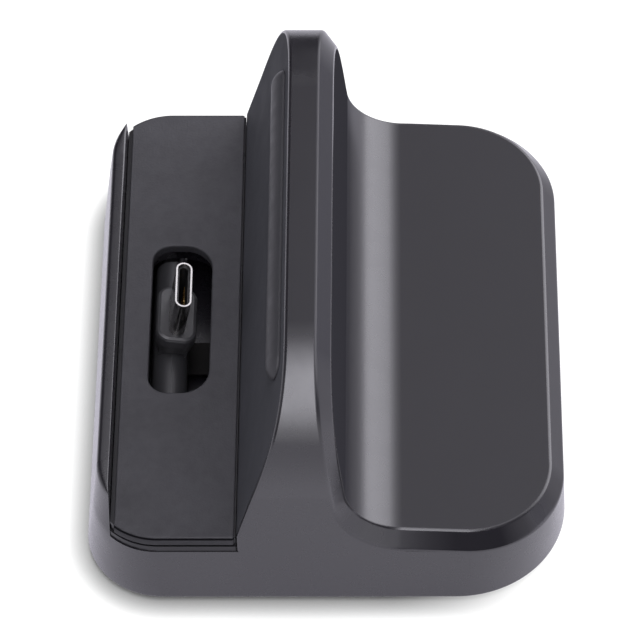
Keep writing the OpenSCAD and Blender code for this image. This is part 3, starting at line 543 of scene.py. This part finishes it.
def housing():
    shell = Shell()
    rim = swept_panel(shell)
    face_row, edge_row = rest_front(shell)
    rest_top(shell, edge_row, rim)
    foot_row = wall_foot(shell)
    rear_foot = foot_row[N_TOP:]
    rear_wall(shell, rim[N_SWEEP:HALF], rear_foot)
    front_rows = front_wall(shell, list(reversed(foot_row[:N_TOP])))
    columns = lip(shell)
    end_walls(shell, front_rows, edge_row, rim, rear_foot[0])
    lip_foot = [column[-1] for column in reversed(columns)]
    open_arc = list(reversed(front_rows[-1][:OPEN_STEPS]))
    cradle_floor(shell, lip_foot + open_arc + [edge_row[N_FRONT - 1], face_row[N_FRONT - 1]])
    return shell.done("housing_shell")


# Near half of the pad's outline: d comes off its end and front corner, s off its long sides
def pad_chain(z, d, s):
    y, r = end_y(MAT_TOP) - d, CRADLE_R - d
    x0, x1 = PAD_X0 + s, PAD_X1 - s
    xc = lip_x(FLOOR_Z) + CRADLE_R
    turn = math.asin((xc - x0) / r)
    chain = [Vector((xc - r * math.sin(turn * (1 - t)), -y + r * (1 - math.cos(turn * (1 - t))), z))
             for t in steps(CORNER_STEPS)]
    rc = PAD_REAR_R - s
    for t in steps(ROUND_STEPS):
        a = math.pi / 2 * t
        chain.append(Vector((x1 - rc + rc * math.sin(a), -y + rc * (1 - math.cos(a)), z)))
    return chain


# Soft pad: stepped ends, a rounded brim and a rounded slot; a row is a height with d and s
def pad():
    skin = Shell()
    base = FLOOR_Z + TRAY_T
    ledge = MAT_TOP - PAD_STEP_H
    inner = PAD_STEP_IN
    foot_rows = [(base, 0.14, 0.14), (base + 0.04, 0.04, 0.04), (base + 0.14, 0, 0)]
    wall_rows = foot_rows[-1:] + [(ledge - 0.13, 0, 0), (ledge - 0.03, 0.03, 0)]
    ledge_rows = wall_rows[-1:] + [(ledge, 0.12, 0), (ledge + 0.02, inner - 0.04, 0),
                                   (ledge + 0.08, inner, 0), (MAT_TOP - 0.22, inner, 0)]
    brim_rows = ledge_rows[-1:] + [(MAT_TOP - 0.12, inner + 0.02, 0.02),
                                   (MAT_TOP - 0.04, inner + 0.09, 0.07),
                                   (MAT_TOP, inner + 0.22, 0.2)]
    # Painted shade on the foot, wall and ledge rows; the brim keeps its plain colour
    for part, tone in ((foot_rows, PAD_FOOT_SHADE), (wall_rows, PAD_WALL_SHADE),
                       (ledge_rows, PAD_LEDGE_SHADE), (brim_rows, PLAIN)):
        rings = [closed(pad_chain(z, d, s)) for z, d, s in part]
        skin.rows(rings, loop=True, tone=lambda i: tone)
    hole = [slot_ring(g, z) for z, g in ((base, 0.1), (base + 0.1, 0), (MAT_TOP - 0.34, 0),
                                         (MAT_TOP - 0.17, 0.02), (MAT_TOP - 0.06, 0.09),
                                         (MAT_TOP - 0.01, 0.2), (MAT_TOP, 0.32))]
    skin.rows(hole, loop=True)
    face_round_slot(skin, pad_chain(*foot_rows[0]), hole[0])
    face_round_slot(skin, pad_chain(*brim_rows[-1]), hole[-1])
    return skin.done("cradle_pad")


# Soft strip: a crowned bar with round ends, flat against the rest
def strip():
    skin = Shell()
    up = Vector((math.sin(REST_LEAN), 0, math.cos(REST_LEAN)))
    out = Vector((-math.cos(REST_LEAN), 0, math.sin(REST_LEAN)))
    mid_z = HOUSING_H - STRIP_DROP
    start = Vector((rest_x(mid_z), 0, mid_z))
    half, crown = STRIP_H / 2, STRIP_CROWN * STRIP_H
    run = STRIP_LEN / 2 - half

    def ring(d, height):
        points = []
        for side in (-1, 1):
            for t in steps(STRIP_STEPS):
                a = math.pi * t + (math.pi if side < 0 else 0)
                across = (half - d) * math.cos(a)
                along = side * run + (half - d) * math.sin(a)
                points.append(start + up * across + out * height + Vector((0, along, 0)))
        return points

    def crowned(d):
        return math.sqrt(crown ** 2 - (half - d) ** 2) - crown + STRIP_PROUD

    rows = [ring(0.05, -0.05), ring(0, 0.03), ring(0, crowned(0) - 0.12), ring(0.03, crowned(0) + 0.02)]
    rows += [ring(d, crowned(d)) for d in (0.12, 0.3, 0.5, 0.75, 1.0, 1.3, 1.6, 1.9, 2.1, half)]
    skin.rows(rows, loop=True)
    skin.face(rows[0])
    return skin.done("rest_strip")


# Rubber foot: a turned disc with a sunk middle and a rounded rim; a row is a radius and a height
def foot(name):
    skin = Shell()
    low_box, high_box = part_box(name)
    cx, cy = [(low_box[i] + high_box[i]) / 2 / MM for i in (0, 1)]
    r = (high_box[0] - low_box[0]) / 2 / MM
    top = high_box[2] / MM
    profile = ((0.0, 0.16), (1.5, 0.16), (1.75, 0.12), (1.95, 0.02), (2.1, 0.0), (r - 0.5, 0.0),
               (r - 0.3, 0.03), (r - 0.1, 0.14), (r, 0.36), (r, top), (0.0, top))
    turns = [2 * math.pi * k / FOOT_TURNS for k in range(FOOT_TURNS)]
    skin.rows([[Vector((cx + radius * math.cos(a), cy + radius * math.sin(a), z - FOOT_H)) for a in turns]
               for radius, z in profile], loop=True)
    return skin.done("rubber_" + name)


def take_over(piece, node):
    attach(piece, "dock")
    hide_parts(node)
    return piece


shell = take_over(housing(), "main_housing")
cradle_pad = take_over(pad(), "cradle_mat")
rest_strip = take_over(strip(), "backrest_strip")
feet = [take_over(foot(n), n) for n in sorted(nodes) if n.startswith("foot_")]

# Angles in degrees above which an edge stays sharp, and the pull of large faces on the shading
HOUSING_SHARP, SOFT_SHARP, STRIP_SHARP, TRAY_SHARP = 32, 50, 60, 35
FACE_PULL = 80


def weigh(obj, keep_sharp):
    weighted = obj.modifiers.new("weighted", "WEIGHTED_NORMAL")
    weighted.keep_sharp = keep_sharp
    weighted.weight = FACE_PULL


# Shading follows the faces: smooth over rounds, flat over flats
def smooth(obj, angle):
    mesh = obj.data
    limit = math.radians(angle)
    mesh.polygons.foreach_set("use_smooth", [True] * len(mesh.polygons))
    work = bmesh.new()
    work.from_mesh(mesh)
    for e in work.edges:
        e.smooth = len(e.link_faces) == 2 and e.calc_face_angle(0.0) < limit
    work.to_mesh(mesh)
    work.free()
    weigh(obj, True)


# Small rounds on the edges of a solid that shows
def soften(obj, width, segments):
    weld = obj.modifiers.new("weld", "WELD")
    weld.merge_threshold = 0.002 * MM
    bevel = obj.modifiers.new("edges", "BEVEL")
    bevel.width = width
    bevel.segments = segments
    bevel.limit_method = "ANGLE"
    bevel.angle_limit = math.radians(TRAY_SHARP)
    bevel.harden_normals = False
    obj.data.polygons.foreach_set("use_smooth", [True] * len(obj.data.polygons))
    weigh(obj, False)


for piece, angle in [(shell, HOUSING_SHARP), (cradle_pad, SOFT_SHARP), (rest_strip, STRIP_SHARP)]:
    smooth(piece, angle)
for piece in feet:
    smooth(piece, SOFT_SHARP)
soften(nodes["cradle_tray"], 0.15 * MM, 2)


class Graph:
    """A node tree in which one call adds a node with its inputs set or linked."""

    def __init__(self, tree):
        self.tree = tree

    def feed(self, socket, value):
        if isinstance(value, bpy.types.NodeSocket):
            self.tree.links.new(value, socket)
        else:
            socket.default_value = value

    def add(self, kind, **given):
        node = self.tree.nodes.new(kind)
        for name, value in given.items():
            self.feed(node.inputs[name.replace("_", " ")], value)
        return node

    def math(self, operation, *values):
        node = self.add("ShaderNodeMath")
        node.operation = operation
        for socket, value in zip(node.inputs, values):
            self.feed(socket, value)
        return node.outputs[0]

    def blend(self, kind, factor, a, b):
        """Mix of a and b, floats or colours as kind says, that may reach past both."""
        node = self.add("ShaderNodeMix")
        node.clamp_factor = False
        node.data_type = kind
        live = {s.name: s for s in node.inputs if s.enabled}
        self.feed(node.inputs["Factor"], factor)
        self.feed(live["A"], a)
        self.feed(live["B"], b)
        return [s for s in node.outputs if s.enabled][0]


# Stretch of a noise's values over which a colour or roughness moves
NOISE_LOW, NOISE_HIGH = 0.3, 0.7


class Look(Graph):
    """One Principled material with noise for colour, roughness and bump."""

    def __init__(self, name, colour, roughness, metallic=0.0, ior=1.5, specular=0.5):
        self.mat = bpy.data.materials.new(name)
        self.mat.use_nodes = True
        super().__init__(self.mat.node_tree)
        self.inputs = self.tree.nodes["Principled BSDF"].inputs
        self.colour = colour
        for key, value in (("Base Color", colour), ("Roughness", roughness), ("Metallic", metallic),
                           ("IOR", ior), ("Specular IOR Level", specular)):
            self.feed(self.inputs[key], value)
        self.place = self.add("ShaderNodeTexCoord").outputs["Object"]

    def noise(self, scale, detail=3.0, rough=0.5, stretch=(1, 1, 1)):
        mapping = self.add("ShaderNodeMapping", Vector=self.place, Scale=stretch)
        tex = self.add("ShaderNodeTexNoise", Vector=mapping.outputs["Vector"], Scale=scale,
                       Detail=detail, Roughness=rough)
        return tex.outputs["Fac"]

    def tint(self, value, low, high):
        """Base colour moves between low and high times its value."""
        ramp = self.add("ShaderNodeValToRGB", Fac=value)
        for stop, place, share in zip(ramp.color_ramp.elements, (NOISE_LOW, NOISE_HIGH), (low, high)):
            stop.position = place
            stop.color = tuple(c * share for c in self.colour[:3]) + (1,)
        self.feed(self.inputs["Base Color"], ramp.outputs["Color"])

    def vary(self, value, low, high):
        """Roughness moves between low and high."""
        node = self.add("ShaderNodeMapRange", Value=value, From_Min=NOISE_LOW, From_Max=NOISE_HIGH,
                        To_Min=low, To_Max=high)
        self.feed(self.inputs["Roughness"], node.outputs["Result"])

    def bump(self, value, strength, distance):
        node = self.add("ShaderNodeBump", Strength=strength, Distance=distance, Height=value)
        self.feed(self.inputs["Normal"], node.outputs["Normal"])

    def fade(self, specular, roughness, colour):
        """Painted light and shade: gloss falls to these values where the painted sheen loss is 1, and the
        colour moves to its own where the painted colour shift is 1.
        """
        for tone, key, kind, end in (("painted_sheen_loss", "Specular IOR Level", "FLOAT", specular),
                                     ("painted_sheen_loss", "Roughness", "FLOAT", roughness),
                                     ("painted_colour_shift", "Base Color", "RGBA", colour)):
            socket = self.inputs[key]
            mark = self.add("ShaderNodeAttribute")
            mark.attribute_name = tone
            now = socket.links[0].from_socket if socket.is_linked else socket.default_value
            self.feed(socket, self.blend(kind, mark.outputs["Fac"], now, end))

    def on(self, *objects):
        for obj in objects:
            obj.data.materials.clear()
            obj.data.materials.append(self.mat)


# Moulded plastic with faint mottling, smudged gloss and a grain
def moulded(name, colour, rough, specular, grain):
    look = Look(name, colour + (1,), rough, ior=1.58, specular=specular)
    look.tint(look.noise(90, 4), 0.95, 1.06)
    look.vary(look.noise(260, 5, 0.6), rough * 0.93, rough * 1.1)
    look.bump(look.noise(2400, 2, 0.5), grain, 0.00004)
    return look


# Housing: satin grey with painted shade and painted light along its bevel, rim, panel and rest top, and a
# matte face on the rest
satin = moulded("housing_satin", (0.0085, 0.0078, 0.0102), 0.27, 0.5, 0.03)
satin.fade(0.0, 0.52, (0.03, 0.0295, 0.034, 1))
matte = moulded("housing_matte", (0.066, 0.067, 0.075), 0.75, 0.04, 0.2)
for look in (satin, matte):
    shell.data.materials.append(look.mat)

# Smooth black tray
tray_look = Look("tray_plastic", (0.008, 0.0078, 0.009, 1), 0.32, specular=0.25)
tray_look.vary(tray_look.noise(300, 4), 0.26, 0.38)
tray_look.bump(tray_look.noise(3000, 2), 0.05, 0.00005)
tray_look.on(nodes["cradle_tray"])

# Soft pad with a pebbled skin, and painted shade on its foot, wall and ledge
mat_look = Look("mat_rubber", (0.026, 0.0255, 0.029, 1), 0.62, specular=0.45)
mat_look.tint(mat_look.noise(160, 4), 0.9, 1.12)
mat_look.vary(mat_look.noise(700, 3), 0.56, 0.7)
mat_look.bump(mat_look.noise(2600, 3, 0.6), 0.5, 0.00012)
mat_look.fade(0.0, 0.8, (0.004, 0.004, 0.0045, 1))
mat_look.on(cradle_pad)

# Soft strip on the rest
strip_look = Look("strip_rubber", (0.022, 0.0218, 0.025, 1), 0.55)
strip_look.vary(strip_look.noise(500, 3), 0.5, 0.62)
strip_look.bump(strip_look.noise(3400, 2), 0.3, 0.00008)
strip_look.on(rest_strip)

# Plug: satin black overmould, nickel shell, black liner and gilded contacts
boot_look = Look("overmould_plastic", (0.02, 0.02, 0.0215, 1), 0.42)
boot_look.vary(boot_look.noise(900, 3), 0.38, 0.48)
boot_look.bump(boot_look.noise(4200, 2), 0.12, 0.00005)
boot_look.on(nodes["plug_rocker"])

steel_look = Look("plug_steel", (0.4, 0.39, 0.38, 1), 0.28, metallic=1.0)
steel_look.vary(steel_look.noise(1500, 3, 0.6, (1, 1, 0.1)), 0.18, 0.34)
steel_look.bump(steel_look.noise(6000, 2, 0.5, (1, 1, 0.08)), 0.12, 0.00003)
steel_look.on(nodes["plug_shell"], nodes["power_socket_shell"])

liner_look = Look("liner_plastic", (0.004, 0.004, 0.004, 1), 0.5)
liner_look.vary(liner_look.noise(1800, 2), 0.42, 0.6)
liner_look.on(nodes["plug_liner"], nodes["power_socket_tongue"])

gold_look = Look("contact_gold", (0.72, 0.46, 0.16, 1), 0.25, metallic=1.0)
gold_look.vary(gold_look.noise(3000, 2), 0.18, 0.36)
gold_look.on(nodes["plug_contacts"], nodes["power_socket_contacts"])

# Steel inside: pin, spring, screws and sawn weights
metal_look = Look("inner_steel", (0.5, 0.5, 0.51, 1), 0.32, metallic=1.0)
metal_look.tint(metal_look.noise(400, 3), 0.85, 1.1)
metal_look.vary(metal_look.noise(1200, 3, 0.6, (1, 0.15, 1)), 0.24, 0.44)
metal_look.on(*[nodes[n] for n in ("pivot_pin", "return_spring", "bracket_screws", "board_screws",
                                   "cover_screws")])

weight_look = Look("weight_steel", (0.3, 0.3, 0.31, 1), 0.45, metallic=1.0)
weight_look.tint(weight_look.noise(220, 4), 0.75, 1.15)
weight_look.vary(weight_look.noise(900, 4, 0.6, (0.1, 1, 1)), 0.36, 0.6)
weight_look.on(nodes["weight_near"], nodes["weight_far"])

# Bracket plastic, darker than its own: painted shade where it shows through the slot
bracket_look = Look("bracket_plastic", (0.006, 0.006, 0.0065, 1), 0.6, specular=0.2)
bracket_look.vary(bracket_look.noise(800, 3), 0.44, 0.58)
bracket_look.bump(bracket_look.noise(3000, 2), 0.2, 0.00005)
bracket_look.on(nodes["pivot_bracket"])

# Board and what it carries
board_look = Look("solder_mask", (0.012, 0.09, 0.04, 1), 0.3)
board_look.tint(board_look.noise(900, 2), 0.85, 1.15)
board_look.vary(board_look.noise(2000, 2), 0.24, 0.4)
board_look.on(nodes["circuit_board"])

chip_look = Look("chip_epoxy", (0.012, 0.012, 0.013, 1), 0.5)
chip_look.vary(chip_look.noise(3000, 2), 0.44, 0.6)
chip_look.on(nodes["power_chip"])

ferrite_look = Look("ferrite", (0.05, 0.05, 0.052, 1), 0.6)
ferrite_look.bump(ferrite_look.noise(4000, 2), 0.3, 0.00005)
ferrite_look.on(nodes["inductor"])

ceramic_look = Look("ceramic", (0.36, 0.24, 0.13, 1), 0.4)
ceramic_look.tint(ceramic_look.noise(3000, 2), 0.85, 1.12)
ceramic_look.on(nodes["capacitors"])

connector_look = Look("connector_plastic", (0.62, 0.6, 0.5, 1), 0.45)
connector_look.vary(connector_look.noise(2500, 2), 0.38, 0.52)
connector_look.on(nodes["ribbon_socket"])

# Ribbon film, near black rather than its own dark brown: painted shade where it shows through the slot
ribbon_look = Look("ribbon_film", (0.004, 0.0036, 0.0034, 1), 0.6, specular=0.1)
ribbon_look.tint(ribbon_look.noise(2600, 1, 0.5, (0.02, 1, 0.02)), 0.8, 1.05)
ribbon_look.on(nodes["plug_ribbon"])

# Underside: spark-textured cover and rubber feet
cover_look = Look("cover_plastic", (0.02, 0.02, 0.0215, 1), 0.6)
cover_look.tint(cover_look.noise(200, 4), 0.9, 1.1)
cover_look.bump(cover_look.noise(2400, 3, 0.6), 0.6, 0.00012)
cover_look.on(nodes["bottom_cover"])

foot_look = Look("foot_rubber", (0.014, 0.014, 0.0145, 1), 0.75)
foot_look.bump(foot_look.noise(2600, 3), 0.5, 0.0001)
foot_look.on(*feet)

# Floor, in metres: its reach, the painted contact shadow's reach, and where that painted shadow fades out
# and is full
FLOOR_REACH, SHADOW_REACH, SHADOW_POWER = 6.0, 0.004, 3.3
SHADOW_NONE_X, SHADOW_FULL_X = 0.036, 0.008
FLOOR_GLOW = 0.82


# Strength of the floor's glow: for the camera and reflections, with a painted shadow for the camera where
# the housing is close
def glow_strength(graph, path):
    open_sky = graph.add("ShaderNodeAmbientOcclusion", Distance=SHADOW_REACH).outputs["AO"]
    position = graph.add("ShaderNodeNewGeometry").outputs["Position"]
    spot = graph.add("ShaderNodeSeparateXYZ", Vector=position)
    here = graph.add("ShaderNodeMapRange", Value=spot.outputs["X"], From_Min=SHADOW_NONE_X,
                     From_Max=SHADOW_FULL_X)
    here.interpolation_type = "SMOOTHSTEP"
    # Painted shadow: for camera rays the glow dims with the open sky near the housing, fading out towards
    # the rear
    loss = graph.math("SUBTRACT", graph.math("POWER", open_sky, SHADOW_POWER), 1.0)
    loss = graph.math("MULTIPLY", loss, here.outputs["Result"])
    kept = graph.math("MULTIPLY_ADD", loss, path["Is Camera Ray"], 1.0)
    seen = graph.math("MAXIMUM", path["Is Camera Ray"], path["Is Glossy Ray"])
    return graph.math("MULTIPLY", graph.math("MULTIPLY", seen, FLOOR_GLOW), kept)


# Floor, white to the camera, with the object's soft shadow kept in its diffuse part and a painted contact
# shadow in its glow
def white_floor():
    mesh = bpy.data.meshes.new("floor")
    square = [(x * FLOOR_REACH, y * FLOOR_REACH, 0) for x, y in ((-1, -1), (1, -1), (1, 1), (-1, 1))]
    mesh.from_pydata(square, [], [(0, 1, 2, 3)])
    floor = bpy.data.objects.new("floor", mesh)
    bpy.context.scene.collection.objects.link(floor)
    material = bpy.data.materials.new("floor_white")
    material.use_nodes = True
    graph = Graph(material.node_tree)
    graph.tree.nodes.clear()
    path = graph.add("ShaderNodeLightPath").outputs
    diffuse = graph.add("ShaderNodeBsdfDiffuse", Color=(0.3, 0.305, 0.285, 1))
    tinge = graph.blend("RGBA", path["Is Glossy Ray"], (1, 1, 1, 1), (1.02, 0.98, 1.16, 1))
    glow = graph.add("ShaderNodeEmission", Color=tinge, Strength=glow_strength(graph, path))
    both = graph.add("ShaderNodeAddShader")
    for socket, part in zip(both.inputs, (diffuse, glow)):
        graph.feed(socket, part.outputs[0])
    graph.add("ShaderNodeOutputMaterial", Surface=both.outputs[0])
    mesh.materials.append(material)


# Unit vectors of a direction: towards it, across it and over it; azimuth 0 is behind, 90 right
def bearing(azimuth, elevation):
    a, e = math.radians(azimuth), math.radians(elevation)
    ahead = Vector((math.sin(a) * math.cos(e), math.cos(a) * math.cos(e), math.sin(e)))
    across = Vector((math.cos(a), -math.sin(a), 0))
    return ahead, across, ahead.cross(across)


class Room(Graph):
    """World light: an even level and soft broad glows that stay in fixed directions."""

    def __init__(self, name, level):
        self.world = bpy.data.worlds.new(name)
        self.world.use_nodes = True
        super().__init__(self.world.node_tree)
        self.tree.nodes.clear()
        self.toward = self.add("ShaderNodeTexCoord").outputs["Generated"]
        self.total = level

    def along(self, vector):
        node = self.add("ShaderNodeVectorMath")
        node.operation = "DOT_PRODUCT"
        self.feed(node.inputs[0], self.toward)
        self.feed(node.inputs[1], vector)
        return node.outputs["Value"]

    def glow(self, azimuth, elevation, wide, tall, strength):
        ahead, across, over = bearing(azimuth, elevation)
        front = self.math("MAXIMUM", self.along(ahead), 0.001)
        x = self.math("DIVIDE", self.along(across / wide), front)
        y = self.math("DIVIDE", self.along(over / tall), front)
        spread = self.math("ADD", self.math("MULTIPLY", x, x), self.math("MULTIPLY", y, y))
        shape = self.math("EXPONENT", self.math("MULTIPLY", self.math("MULTIPLY", spread, spread), -1.0))
        self.total = self.math("ADD", self.total, self.math("MULTIPLY", shape, strength))

    def done(self):
        path = self.add("ShaderNodeLightPath").outputs
        lit = self.add("ShaderNodeBackground", Color=(1.0, 0.985, 1.06, 1), Strength=self.total)
        white = self.add("ShaderNodeBackground")
        mix = self.add("ShaderNodeMixShader")
        clear = self.math("MAXIMUM", path["Is Camera Ray"], path["Is Transmission Ray"])
        for socket, value in zip(mix.inputs, (clear, lit.outputs[0], white.outputs[0])):
            self.feed(socket, value)
        self.add("ShaderNodeOutputWorld", Surface=mix.outputs[0])
        bpy.context.scene.world = self.world


# Light: behind the sweep, along the near side from overhead, low at the near side, and fill
def light():
    room = Room("room", 0.06)
    room.glow(47, 28, 0.6, 0.57, 4.6)
    room.glow(180, 72, 0.2, 1.2, 6.8)
    room.glow(180, 12, 0.25, 0.35, 1.8)
    room.glow(5, 50, 0.5, 0.35, 0.12)
    room.glow(145, 10, 0.8, 0.45, 1.2)
    room.glow(270, 20, 0.7, 0.5, 0.8)
    room.done()


# Camera at the photograph's place, with its long lens and its off-centre middle
CAMERA_DOWN = math.radians(52)
CAMERA_AT = (7.36, -373.245, 492.16)
PHOTO_PX, FOCAL_PX, CENTRE_PX = 640, 4083, 377


def photo_camera():
    data = bpy.data.cameras.new("camera")
    data.sensor_width = 36
    data.lens = FOCAL_PX / PHOTO_PX * data.sensor_width
    data.shift_x = (PHOTO_PX / 2 - CENTRE_PX) / PHOTO_PX
    data.clip_start, data.clip_end = 0.05, 20
    camera = bpy.data.objects.new("camera", data)
    bpy.context.scene.collection.objects.link(camera)
    camera.location = [v * MM for v in CAMERA_AT]
    forward = Vector((0, math.cos(CAMERA_DOWN), -math.sin(CAMERA_DOWN)))
    camera.rotation_mode = "QUATERNION"
    camera.rotation_quaternion = forward.to_track_quat("-Z", "Y")
    bpy.context.scene.camera = camera


white_floor()
light()
photo_camera()
bpy.context.scene.view_settings.view_transform = "Standard"
